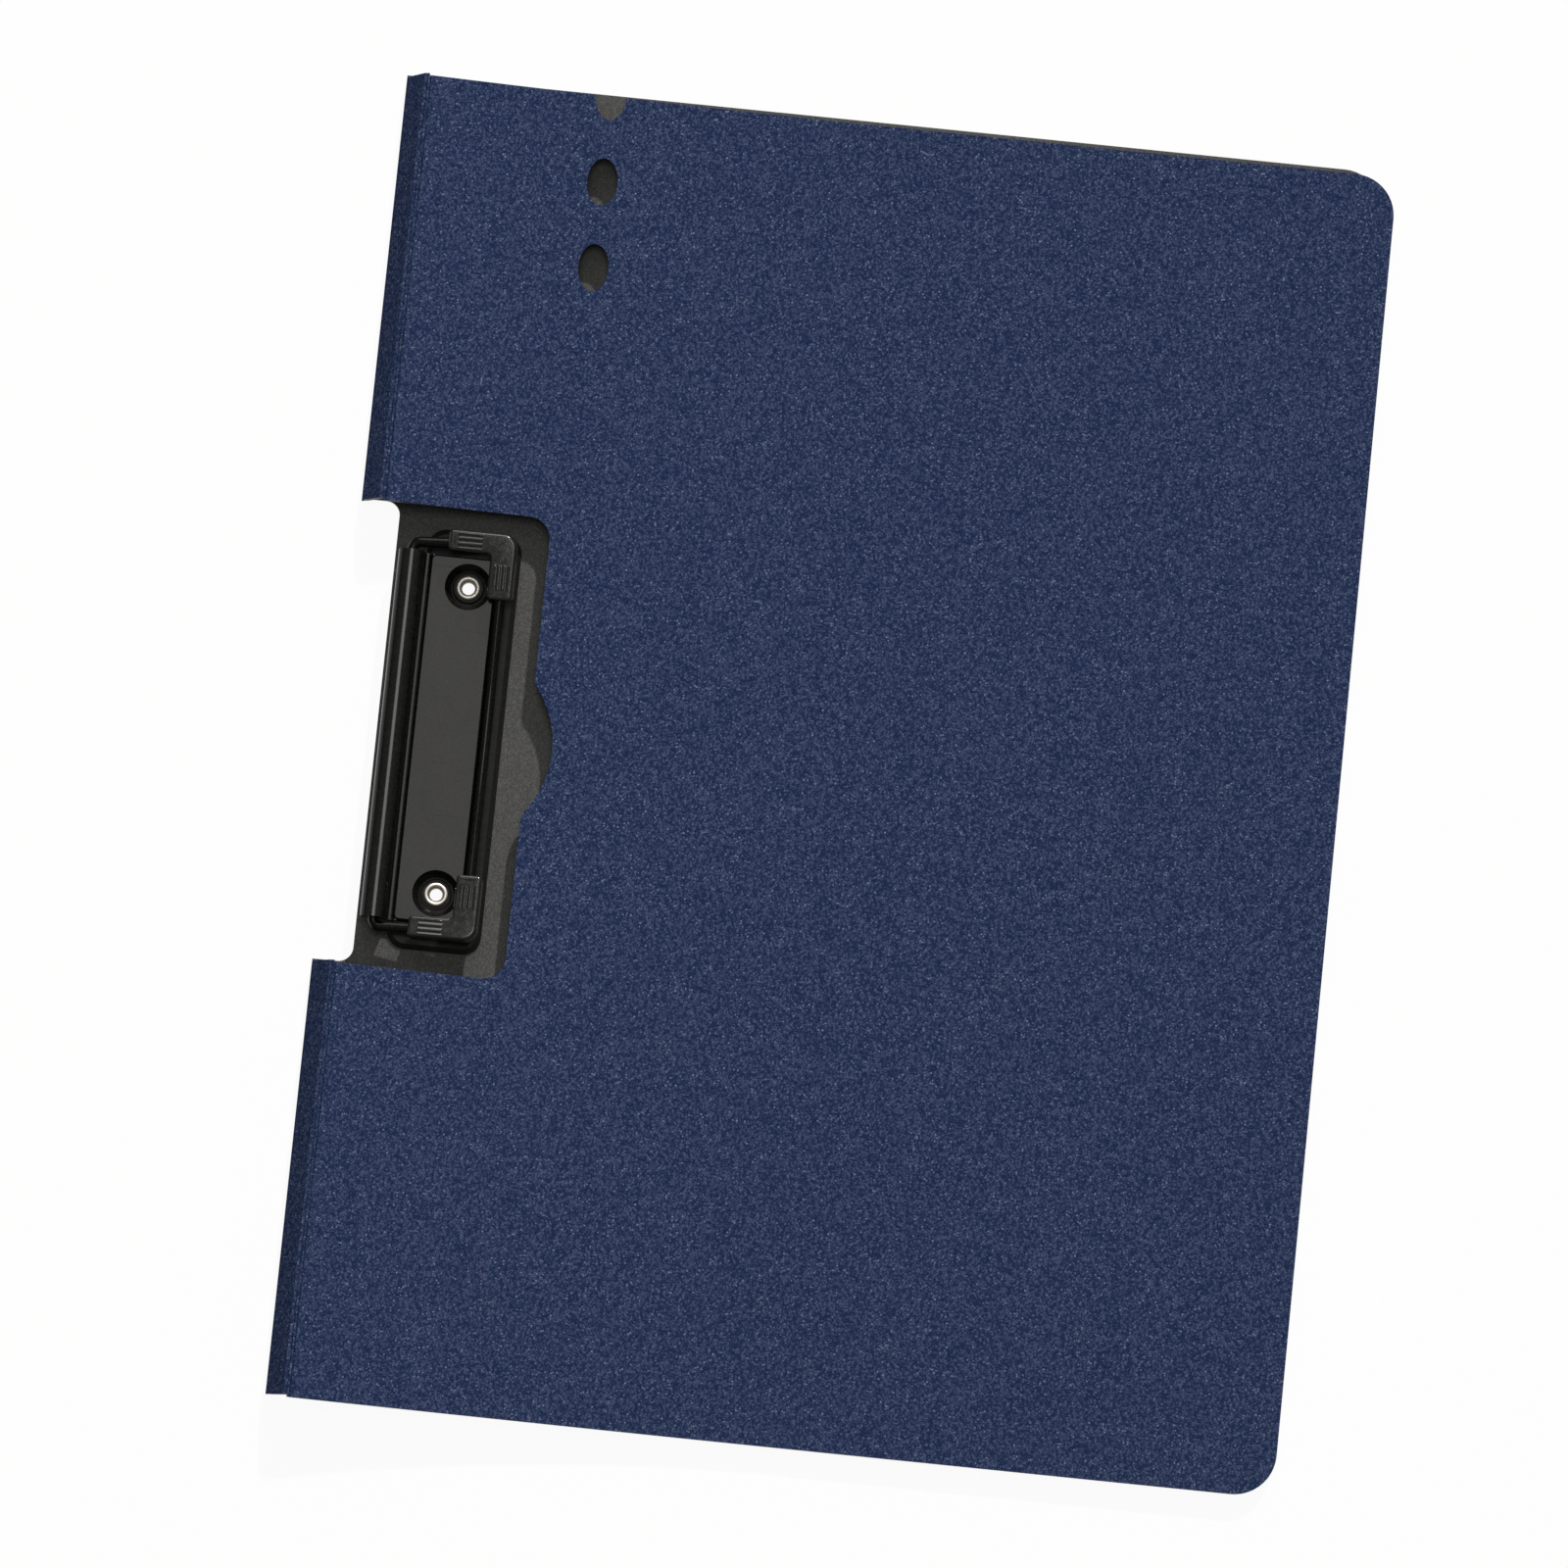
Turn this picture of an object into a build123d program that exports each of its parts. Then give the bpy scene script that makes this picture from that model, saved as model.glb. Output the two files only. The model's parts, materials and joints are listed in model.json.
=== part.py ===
"""A4 landscape clipboard folder, closed: a creased plastic sheet (back, spine strips and cover)
with a sprung wire clip riveted to the back, in a notch cut through the spine side.

Millimetres, +Z up, underside at z = 0. Y runs along the spine. X runs from the spine to the free edge.
Pieces are drawn with x = 0 on the back crease, and moved at the end so that the origin is at the
middle of the closed folder's underside.
"""
from build123d import *
import math
import os

# Sheet: one die-cut plastic sheet, creased twice along the spine
sheet_length = 318.0          # along the spine
sheet_thickness = 1.5
back_width = 236.4            # back crease to free edge
cover_width = 233.6           # cover crease to free edge, seen from above
spine_width = 10.4            # between the two crease lines
spine_lean = 58.4             # degrees up from the back, when closed and empty
corner_radius = 10.0          # the two free corners of the back and of the cover
cover_rest_gap = 0.3          # between the back and the flat part of the closed cover
cover_bend_run = 120.0        # the cover comes down from its crease over this length
cover_shift = 1.2             # the closed cover sits this much lower along the spine than the back

# Creases: each panel thins towards the crease line. The back and the cover reach it with a thin web
crease_half_thickness = 0.15
back_nose_start = 0.6         # crease line to the thin end of the taper
back_nose_full = 2.0          # crease line to full thickness
cover_nose_start = 0.35
cover_nose_full = 0.72

# Notch for the clip, one window cut through cover, spine and back
notch_length = 111.2          # along the spine
notch_back_depth = 9.3        # back crease to the back's edge inside the notch
notch_cover_depth = 40.3      # cover crease to the notch's far side
notch_back_radius = 3.5
notch_cover_radius = 5.3
finger_radius = 24.5          # the finger bay in the notch's far side
finger_depth = 5.8
finger_fillet = 4.0

# Pen slots: ovals in a line parallel to the crease, the first one cut in half by the upper edge
slot_width = 7.3
slot_length = 11.4
slot_pitch = 20.9
slot_count = 3
slot_from_crease = 43.9

# Clip base plate, pressed from one sheet
plate_left = 16.8             # from the back crease
plate_width = 22.5
plate_length = 101.2
plate_thickness = 0.9
plate_corner_radius = 4.5
plate_bevel_width = 1.2       # coined slope round the plate's rim, seen from above
plate_bevel_height = 0.55
plateau_left = 17.7
plateau_width = 16.6
plateau_length = 88.9
plateau_rise = 2.1            # how far the plateau's underside stands above the board
plateau_taper = 10.0          # degrees, on the plateau's sides
plateau_corner_radius = 1.2
plateau_edge_fillet = 0.3

# Barrel, rolled from the plate's spine-side edge
barrel_diameter = 6.3
barrel_length = 88.4
barrel_axis_x = 13.4
barrel_lift = 1.4             # under the barrel, above the board
barrel_roll_angle = 300.0     # degrees, from the neck round to the seam
mouth_length = 3.0            # each end of the barrel is drawn in round the wire
wire_fit = 0.06               # radial, between wire and mouth

# Wire bail
wire_diameter = 2.5
bar_x = 35.45
exit_y = 46.3                 # the wire's legs leave the barrel here, either way from the middle
corner_y = 46.5               # the wire's corners, either way from the middle of the bar
bar_shift = 0.8               # the sprung bar sits this much higher along the spine than the barrel
corner_height = 7.0           # wire centre above the board, at the two corners
bar_clearance = 0.3           # under the middle of the bar, above the plate
bar_dip_angle = 6.5           # degrees, from the corners down to the middle of the bar
exit_bend_radius = 1.9
corner_bend_radius = 3.2
torsion_end_y = 9.0           # where each torsion leg ends inside the barrel

# Corner grips, moulded on the wire
grip_leg_width = 5.0
grip_bar_width = 6.0
grip_height = 4.4
grip_leg_length = 16.4        # along the wire leg, outer corner to tip
grip_bar_length = 15.8        # along the bar, outer corner to tip
grip_outer_radius = 3.2
grip_inner_radius = 1.0
grip_end_radius = 1.0
grip_edge_fillet = 0.7
grip_bore_gap = 0.03          # radial, round the wire
grip_rest_gap = 0.3           # under the flat of the grips, above the plateau
rib_count = 3
rib_pitch = 1.25
rib_groove = 0.45
rib_depth = 0.35
rib_length = 6.0
rib_setback = 2.3             # grip's tip to the start of the grooves
collar_length = 1.3           # grip's tip to the groove across it
collar_groove_length = 2.6

# Rivets: open eyelets through plate and back
rivet_spacing = 73.9
rivet_x = 27.55
eyelet_bore = 3.1
eyelet_throat = 3.7           # inside the rolled lip, where the funnel down to the bore begins
eyelet_funnel_depth = 0.7
eyelet_shank = 4.6
eyelet_lip = 5.6
eyelet_lip_base = 0.25        # straight part of the lip under its half round
eyelet_foot = 8.4
eyelet_foot_height = 0.5
eyelet_fit = 0.05             # radial, between shank and holes
foot_recess_gap = 0.1         # round and under the foot
dimple_top = 11.2             # pressed down round each eyelet
dimple_seat = 6.9

# Derived places
half_sheet = sheet_thickness / 2
board_top = sheet_thickness
lean = math.radians(spine_lean)
crease_x = spine_width * math.cos(lean)
crease_z = half_sheet + spine_width * math.sin(lean)
cover_flat_z = board_top + cover_rest_gap + half_sheet
cover_drop = crease_z - cover_flat_z
cover_bend_radius = (cover_bend_run**2 + cover_drop**2) / (2 * cover_drop)
cover_edge_x = crease_x + cover_width
cover_y = -cover_shift / 2
back_y = cover_shift / 2
notch_cover_x = crease_x + notch_cover_depth
barrel_radius = barrel_diameter / 2
barrel_axis_z = board_top + barrel_lift + barrel_radius
wire_radius = wire_diameter / 2
plate_x = plate_left + plate_width / 2
plateau_x = plateau_left + plateau_width / 2
plateau_top = board_top + plateau_rise + plate_thickness
plateau_slope = math.tan(math.radians(plateau_taper))
rivet_places = (-rivet_spacing / 2, rivet_spacing / 2)
bar_middle_z = board_top + plate_thickness + bar_clearance + wire_radius
corner_z = board_top + corner_height
bar_middle_point = 3          # in bail_route's list, with the bar's corners on either side of it
tall = 60.0                   # longer than anything it cuts


def nose(axis, direction, start, full):
    """Corner points of a panel's tapered end: thin and full-thickness points, above then below."""
    along = Vector(math.cos(direction), math.sin(direction))
    across = Vector(-math.sin(direction), math.cos(direction))
    tip = axis + along * start
    shoulder = axis + along * full
    return {
        "tip_over": tip + across * crease_half_thickness,
        "tip_under": tip - across * crease_half_thickness,
        "full_over": shoulder + across * half_sheet,
        "full_under": shoulder - across * half_sheet,
    }


def crease_web(axis, direction, reach):
    """Section of the thin web from the crease line to a panel's taper, round at the crease line."""
    strip = Pos(reach / 2, 0) * Rectangle(reach, 2 * crease_half_thickness)
    return Pos(axis) * Rot(0, 0, math.degrees(direction)) * (strip + Circle(crease_half_thickness))


def along_spine(section, y_from, y_to):
    """Solid with the given x-z section, drawn from y_from to y_to."""
    face = Plane.XZ.offset(-y_from) * section
    return extrude(face, amount=y_to - y_from, dir=(0, 1, 0))


def column(sketch):
    """Tall upright cutter with the given outline."""
    return extrude(Pos(0, 0, -tall / 2) * sketch, amount=tall)


def rounded_edge_outline(edge_x):
    """Panel outline that runs past the crease, with round corners at the free edge."""
    outline = Rectangle(2 * edge_x, sheet_length)
    return fillet(outline.vertices().group_by(Axis.X)[-1], corner_radius)


def back_notch():
    """The back's share of the clip window."""
    window = Rectangle(2 * notch_back_depth, notch_length)
    return fillet(window.vertices(), notch_back_radius)


def cover_notch():
    """The cover's share of the clip window, with the finger bay."""
    window = Pos(crease_x, 0) * Rectangle(2 * notch_cover_depth, notch_length)
    window = fillet(window.vertices(), notch_cover_radius)
    bay_x = notch_cover_x + finger_depth - finger_radius
    window += Pos(bay_x, 0) * Circle(finger_radius)
    half_chord = math.sqrt(finger_radius**2 - (notch_cover_x - bay_x) ** 2)
    for y in (-half_chord, half_chord):
        bay_end = window.vertices().sort_by_distance((notch_cover_x, y))[0]
        window = fillet(bay_end, finger_fillet)
    return window


def pen_slots():
    """Ovals along the crease, from the cover's upper edge inwards."""
    slots = Sketch()
    for index in range(slot_count):
        y = sheet_length / 2 - index * slot_pitch
        oval = Ellipse(slot_width / 2, slot_length / 2)
        slots += Pos(crease_x + slot_from_crease, y) * oval
    return slots


def make_back_board():
    end = nose(Vector(0, half_sheet), 0.0, back_nose_start, back_nose_full)
    section = make_face(Polyline(
        end["tip_over"],
        end["full_over"],
        (back_width, board_top),
        (back_width, 0),
        end["full_under"],
        end["tip_under"],
        close=True,
    ))
    section += crease_web(Vector(0, half_sheet), 0.0, back_nose_start)
    board = along_spine(section, -sheet_length / 2, sheet_length / 2)
    board &= column(rounded_edge_outline(back_width))
    board -= column(back_notch())
    board = Pos(0, back_y) * board
    recess = extrude(Circle(eyelet_foot / 2 + foot_recess_gap), amount=eyelet_foot_height + foot_recess_gap)
    for y in rivet_places:
        board -= Pos(rivet_x, y) * column(Circle(eyelet_shank / 2 + eyelet_fit))
        board -= Pos(rivet_x, y) * recess
    return board


def make_spine_strip(side):
    """One of the two strips between the creases: side is +1 above the notch, -1 below."""
    low = nose(Vector(0, half_sheet), lean, back_nose_start, back_nose_full)
    high = nose(Vector(crease_x, crease_z), lean + math.pi, cover_nose_start, cover_nose_full)
    section = make_face(Polyline(
        low["tip_over"],
        low["full_over"],
        high["full_under"],
        high["tip_under"],
        high["tip_over"],
        high["full_over"],
        low["full_under"],
        low["tip_under"],
        close=True,
    ))
    near, far = sorted((side * notch_length / 2, side * sheet_length / 2))
    return along_spine(section, near, far)


def make_front_cover():
    """Sheet that leaves its crease downwards on one long arc, then lies flat."""
    bend = math.asin(cover_bend_run / cover_bend_radius)
    centre = Vector(crease_x + cover_bend_run, cover_flat_z + cover_bend_radius)
    end = nose(Vector(crease_x, crease_z), -bend, cover_nose_start, cover_nose_full)
    nose_angle = bend - cover_nose_full / cover_bend_radius

    def on_arc(radius, angle):
        return centre + Vector(-math.sin(angle), -math.cos(angle)) * radius

    over = cover_bend_radius - half_sheet
    under = cover_bend_radius + half_sheet
    edge_over = Vector(cover_edge_x, cover_flat_z + half_sheet)
    edge_under = Vector(cover_edge_x, cover_flat_z - half_sheet)
    section = make_face([
        Line(end["tip_under"], end["tip_over"]),
        Line(end["tip_over"], on_arc(over, nose_angle)),
        ThreePointArc(on_arc(over, nose_angle), on_arc(over, nose_angle / 2), on_arc(over, 0)),
        Line(on_arc(over, 0), edge_over),
        Line(edge_over, edge_under),
        Line(edge_under, on_arc(under, 0)),
        ThreePointArc(on_arc(under, 0), on_arc(under, nose_angle / 2), on_arc(under, nose_angle)),
        Line(on_arc(under, nose_angle), end["tip_under"]),
    ])
    section += crease_web(Vector(crease_x, crease_z), -bend, cover_nose_start)
    cover = along_spine(section, -sheet_length / 2, sheet_length / 2)
    cover &= column(rounded_edge_outline(cover_edge_x))
    cover -= column(cover_notch())
    cover -= column(pen_slots())
    return Pos(0, cover_y) * cover


def plateau_block(inset, bottom_z, top_z):
    """Block with sloping sides: the plateau's outside, or its hollow when inset by the sheet."""
    outlines = []
    for z in (bottom_z, top_z):
        shrink = 2 * inset + 2 * plateau_slope * (z - board_top)
        radius = plateau_corner_radius + inset
        outline = RectangleRounded(plateau_width - shrink, plateau_length - shrink, radius)
        outlines.append(Pos(plateau_x, 0, z) * outline)
    return loft(outlines, ruled=True)


def dimple_cone(grown, bottom_z, top_z):
    """Round funnel pressed from the plateau down to the plate's seat, its wall grown outwards."""
    seat_z = board_top + plate_thickness
    flare = (dimple_top - dimple_seat) / 2 / (plateau_top - seat_z)
    cone = Cone(
        dimple_seat / 2 + grown + flare * (bottom_z - seat_z),
        dimple_seat / 2 + grown + flare * (top_z - seat_z),
        top_z - bottom_z,
        align=(Align.CENTER, Align.CENTER, Align.MIN),
    )
    return Pos(rivet_x, 0, bottom_z) * cone


def barrel_roll():
    """Sheet rolled up and over from the neck beside the plateau, with its mouths drawn in."""
    axis = Pos(barrel_axis_x, barrel_axis_z)
    opening = math.radians(360 - barrel_roll_angle)
    ring = Circle(barrel_radius) - Circle(barrel_radius - plate_thickness)
    ring -= make_face(Polyline(
        (0, 0),
        (0, -barrel_diameter),
        (barrel_diameter * math.sin(opening), -barrel_diameter * math.cos(opening)),
        close=True,
    ))
    roll = along_spine(axis * ring, -barrel_length / 2, barrel_length / 2)
    mouth = Circle(barrel_radius - plate_thickness / 2) - Circle(wire_radius + wire_fit)
    mouth_start = barrel_length / 2 - mouth_length
    roll += along_spine(axis * mouth, mouth_start, barrel_length / 2)
    roll += along_spine(axis * mouth, -barrel_length / 2, -mouth_start)
    return roll


def neck():
    """Flat sheet from the underside of the barrel through the plateau's side wall."""
    low = board_top + barrel_lift
    inner_wall_x = plateau_left + plate_thickness + barrel_lift * plateau_slope
    section = make_face(Polyline(
        (barrel_axis_x, low),
        (inner_wall_x, low),
        (inner_wall_x, low + plate_thickness),
        (barrel_axis_x, low + plate_thickness),
        close=True,
    ))
    return along_spine(section, -barrel_length / 2, barrel_length / 2)


def bevelled_plate():
    """Flat plate with a coined slope all round its upper edge."""
    rim = RectangleRounded(plate_width, plate_length, plate_corner_radius)
    flat = RectangleRounded(
        plate_width - 2 * plate_bevel_width,
        plate_length - 2 * plate_bevel_width,
        plate_corner_radius - plate_bevel_width,
    )
    edge_height = plate_thickness - plate_bevel_height
    plate = extrude(rim, amount=edge_height)
    plate += loft([Pos(0, 0, edge_height) * rim, Pos(0, 0, plate_thickness) * flat], ruled=True)
    return Pos(plate_x, 0, board_top) * plate


def make_clip_base_plate():
    plate = bevelled_plate()
    plateau = plateau_block(0, board_top + plate_thickness / 2, plateau_top)
    plateau = fillet(plateau.faces().sort_by(Axis.Z)[-1].edges(), plateau_edge_fillet)
    plate += plateau
    seat_z = board_top + plate_thickness
    hollow = plateau_block(plate_thickness, board_top - plate_thickness, plateau_top - plate_thickness)
    for y in rivet_places:
        hollow -= Pos(0, y) * dimple_cone(plate_thickness, 0, 2 * plateau_top)
    plate -= hollow
    for y in rivet_places:
        plate -= Pos(0, y) * dimple_cone(0, seat_z, 2 * plateau_top)
        plate -= Pos(rivet_x, y) * column(Circle(eyelet_shank / 2 + eyelet_fit))
    return plate + neck() + barrel_roll()


def round_corner(before, corner, after, radius):
    """Start, middle and end of the arc that rounds the corner of two straight runs."""
    back = (before - corner).normalized()
    ahead = (after - corner).normalized()
    half_angle = math.radians(back.get_angle(ahead)) / 2
    reach = radius / math.tan(half_angle)
    middle_distance = radius / math.sin(half_angle) - radius
    bisector = (back + ahead).normalized()
    return corner + back * reach, corner + bisector * middle_distance, corner + ahead * reach


def bail_route():
    """Corner points of the wire's centre line, from upper to lower, and the radius at each inner one."""
    dip = math.radians(bar_dip_angle)
    wanted_drop = corner_z - bar_middle_z
    middle_radius = (corner_y * math.tan(dip) - wanted_drop) / (1 / math.cos(dip) - 1)
    apex_z = corner_z - corner_y * math.tan(dip)
    points = [
        Vector(barrel_axis_x, torsion_end_y, barrel_axis_z),
        Vector(barrel_axis_x, exit_y, barrel_axis_z),
        Vector(bar_x, bar_shift + corner_y, corner_z),
        Vector(bar_x, bar_shift, apex_z),
        Vector(bar_x, bar_shift - corner_y, corner_z),
        Vector(barrel_axis_x, -exit_y, barrel_axis_z),
        Vector(barrel_axis_x, -torsion_end_y, barrel_axis_z),
    ]
    bends = [exit_bend_radius, corner_bend_radius, middle_radius, corner_bend_radius, exit_bend_radius]
    return points, bends


def sweep_route(points, bends, radius):
    """Round bar along straight runs joined by tangent arcs."""
    edges = []
    position = points[0]
    for index, bend in enumerate(bends, start=1):
        start, middle, end = round_corner(points[index - 1], points[index], points[index + 1], bend)
        edges.append(Line(position, start))
        edges.append(ThreePointArc(start, middle, end))
        position = end
    edges.append(Line(position, points[-1]))
    section = Plane(origin=points[0], z_dir=points[1] - points[0]) * Circle(radius)
    return sweep(section, path=Wire(edges))


def make_wire_bail():
    points, bends = bail_route()
    return sweep_route(points, bends, wire_radius)


def leg_grooves(tip):
    """Ribbing of one grip leg that runs along X to its tip: grooves along it, and one behind its collar."""
    floor = grip_height / 2 - rib_depth
    grooves = Pos(tip - collar_length, 0, floor + tall / 2) * Box(rib_groove, collar_groove_length, tall)
    for index in range(rib_count):
        offset = (index - (rib_count - 1) / 2) * rib_pitch
        middle = tip - rib_setback - rib_length / 2
        grooves += Pos(middle, offset, floor + tall / 2) * Box(rib_length, rib_groove, tall)
    return grooves


def grip_moulding():
    """L-shaped grip in its own plane: the wire's corner at the origin, leg along X, bar along Y."""
    leg_half = grip_leg_width / 2
    bar_half = grip_bar_width / 2
    leg_tip = grip_leg_length - bar_half
    bar_tip = grip_bar_length - leg_half
    outline = make_face(Polyline(
        (-bar_half, -leg_half),
        (leg_tip, -leg_half),
        (leg_tip, leg_half),
        (bar_half, leg_half),
        (bar_half, bar_tip),
        (-bar_half, bar_tip),
        close=True,
    ))
    outline = fillet(outline.vertices().sort_by_distance((-bar_half, -leg_half))[0], grip_outer_radius)
    outline = fillet(outline.vertices().sort_by_distance((bar_half, leg_half))[0], grip_inner_radius)
    tips = outline.vertices().group_by(Axis.X)[-1] + outline.vertices().group_by(Axis.Y)[-1]
    outline = fillet(tips, grip_end_radius)
    grip = extrude(outline, amount=grip_height / 2, both=True)
    rims = grip.faces().sort_by(Axis.Z)
    grip = fillet(rims[0].edges() + rims[-1].edges(), grip_edge_fillet)
    grip -= leg_grooves(leg_tip)
    grip -= mirror(Rot(0, 0, 90) * leg_grooves(bar_tip), about=Plane.YZ)
    return grip


def make_corner_grip(side):
    """Grip on one corner of the wire, square to the bar: side is +1 for the upper corner, -1 below."""
    points, bends = bail_route()
    corner_point = bar_middle_point - side
    corner = points[corner_point]
    along_bar = (points[bar_middle_point] - corner).normalized()
    towards_barrel = (points[corner_point - side] - corner).normalized()
    inward = (towards_barrel - along_bar * towards_barrel.dot(along_bar)).normalized()
    top = inward.cross(along_bar) * side
    moulding = grip_moulding()
    if side < 0:
        moulding = mirror(moulding, about=Plane.XZ)
    grip = Plane(origin=corner, x_dir=inward, z_dir=top) * moulding
    grip -= Pos(bar_x, 0, plateau_top + grip_rest_gap - tall / 2) * Box(tall, 2 * plate_length, tall)
    return grip - sweep_route(points, bends, wire_radius + grip_bore_gap)


def make_rivet(y):
    """Open eyelet: foot in the back's recess, shank, and a lip rolled outwards on the plate's seat."""
    seat_z = board_top + plate_thickness
    foot_z = foot_recess_gap / 2
    foot_top = foot_z + eyelet_foot_height
    lip_z = seat_z + eyelet_lip_base
    bore, throat, shank, lip, foot = (
        diameter / 2
        for diameter in (eyelet_bore, eyelet_throat, eyelet_shank, eyelet_lip, eyelet_foot)
    )
    lip_round = (lip - throat) / 2
    section = make_face([
        Polyline((bore, lip_z - eyelet_funnel_depth), (bore, foot_z), (foot, foot_z), (foot, foot_top)),
        Polyline((foot, foot_top), (shank, foot_top), (shank, seat_z), (lip, seat_z), (lip, lip_z)),
        ThreePointArc((lip, lip_z), (throat + lip_round, lip_z + lip_round), (throat, lip_z)),
        Line((throat, lip_z), (bore, lip_z - eyelet_funnel_depth)),
    ])
    return Pos(rivet_x, y) * revolve(Plane.XZ * section, Axis.Z)


def build_pieces():
    return {
        "back_board": make_back_board(),
        "spine_strip_upper": make_spine_strip(+1),
        "spine_strip_lower": make_spine_strip(-1),
        "front_cover": make_front_cover(),
        "clip_base_plate": make_clip_base_plate(),
        "wire_bail": make_wire_bail(),
        "corner_grip_upper": make_corner_grip(+1),
        "corner_grip_lower": make_corner_grip(-1),
        "rivet_upper": make_rivet(rivet_spacing / 2),
        "rivet_lower": make_rivet(-rivet_spacing / 2),
    }


def main():
    os.makedirs("parts", exist_ok=True)
    pieces = build_pieces()
    box = Compound(list(pieces.values())).bounding_box()
    centre = Pos(-box.center().X, -box.center().Y, -box.min.Z)
    for name, piece in pieces.items():
        export_step(centre * piece, f"parts/{name}.step")
    shift = -box.center().X
    print(f"size {box.size.X:.2f} x {box.size.Y:.2f} x {box.size.Z:.2f}")
    print(f"back crease at x {shift:.3f}, z {half_sheet:.3f}")
    print(f"cover crease at x {crease_x + shift:.3f}, z {crease_z:.3f}")
    print(f"barrel axis at x {barrel_axis_x + shift:.3f}, z {barrel_axis_z:.3f}")


main()
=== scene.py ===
"""Looks of the landscape clipboard folder: a grained navy sheet with a dark inner face, creased
twice, and a black enamelled wire clip with open nickel eyelets, on a pale studio floor.

Metres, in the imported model's frame: +Y along the spine, +X to the free edge, +Z up.
"""
import json
import math

import bmesh
import bpy
import numpy as np
from mathutils import Matrix, Vector

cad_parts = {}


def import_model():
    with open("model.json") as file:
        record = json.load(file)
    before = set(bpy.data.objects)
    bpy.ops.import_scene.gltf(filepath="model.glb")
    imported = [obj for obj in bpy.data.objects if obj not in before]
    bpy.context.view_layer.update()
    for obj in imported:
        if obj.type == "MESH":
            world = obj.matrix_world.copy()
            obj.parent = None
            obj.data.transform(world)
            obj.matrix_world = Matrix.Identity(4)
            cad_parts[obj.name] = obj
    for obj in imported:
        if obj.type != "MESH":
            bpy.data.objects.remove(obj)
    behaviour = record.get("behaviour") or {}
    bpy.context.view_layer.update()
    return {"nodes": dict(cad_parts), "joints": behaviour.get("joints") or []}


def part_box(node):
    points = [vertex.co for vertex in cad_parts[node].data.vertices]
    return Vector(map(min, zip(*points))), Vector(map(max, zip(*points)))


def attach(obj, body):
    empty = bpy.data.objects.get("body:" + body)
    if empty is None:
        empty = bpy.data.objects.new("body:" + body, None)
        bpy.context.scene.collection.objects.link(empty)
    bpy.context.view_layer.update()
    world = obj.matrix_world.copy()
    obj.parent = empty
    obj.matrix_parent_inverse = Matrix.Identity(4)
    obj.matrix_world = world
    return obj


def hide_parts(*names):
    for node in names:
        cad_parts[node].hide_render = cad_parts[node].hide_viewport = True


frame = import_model()

MM = 0.001

# Camera: where it aims on the floor, and how it stands
AIM = Vector((-12.22 * MM, -1.96 * MM, 0.0))
CAMERA_DISTANCE = 2.2
CAMERA_LEAN = (0.33, -6.90)          # degrees from straight down, towards +X and +Y
CAMERA_ROLL = -5.77                  # degrees
LENS = 211.8                         # millimetres, on a 36 mm sensor
SENSOR = 36.0

# The sheet and its creases
SHEET_THICKNESS = 1.5 * MM
SPINE_LEAN = math.radians(58.4)
COVER_BEND_START = 0.8 * MM          # the cover bends from this far beyond its crease
COVER_BEND_RUN = 120 * MM            # crease to the flat part of the cover
COVER_FLAT_Z = 2.55 * MM             # middle of the sheet there
COVER_STRIP = 2.5 * MM               # the bend is laid in strips of this width
WEB_RADIUS = 0.15 * MM               # the thin hinge left in each crease
BACK_WEB_REACH = 0.6 * MM
COVER_WEB_REACH = 0.35 * MM
CREASE_ZONE = 1.9 * MM               # sharp little edges this near a crease line stay as they are
EDGE_ROUNDING = 0.18 * MM            # on the sheet's die-cut edges
ROUNDED_TURN = math.radians(35.0)    # edges that turn more are rounded
SHARP_TURN = math.radians(3.0)       # and those that turn more than this are left sharp

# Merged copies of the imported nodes
MERGE_WITHIN = 0.002 * MM
CUT_WITHIN = 0.001 * MM
SAME_PLANE = math.radians(0.05)
ROUNDING_SEGMENTS = 3

# The eyelets
EYELET_X = -91.9 * MM
EYELET_Y = 36.95 * MM                # either way from the middle
EYELET_THROAT = 1.92 * MM            # radius where the painted shade inside meets the bright lip
EYELET_DARK = EYELET_THROAT - 0.1 * MM
EYELET_BRIGHT = EYELET_THROAT + 0.15 * MM

# The grips' ribs
BAIL_MIDDLE_Y = 0.793 * MM           # the wire bail is the same either way from here
RIB_PITCH = 1.245 * MM               # seen from above
RIB_FADE = 0.15 * MM                 # a crown ends over this length
SIDE_GROOVE_Y = 47.635 * MM          # middle of one groove on the leg that runs along X
SIDE_LEG_X = (-95.25 * MM, -89.25 * MM)
SIDE_LEG_Y = (44.5 * MM, 48.3 * MM)
BAR_GROOVE_X = -82.95 * MM           # middle of one groove on the leg that runs along Y
BAR_LEG_X = (-86.1 * MM, -82.3 * MM)
BAR_LEG_Y = (35.35 * MM, 41.35 * MM)
GROOVE_ROUNDING = 0.1 * MM
GROOVE_TURN = math.radians(60.0)     # edges of the grooves turn more than this
FACING_UP = 0.95                     # least upward share of a top face's normal

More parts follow.
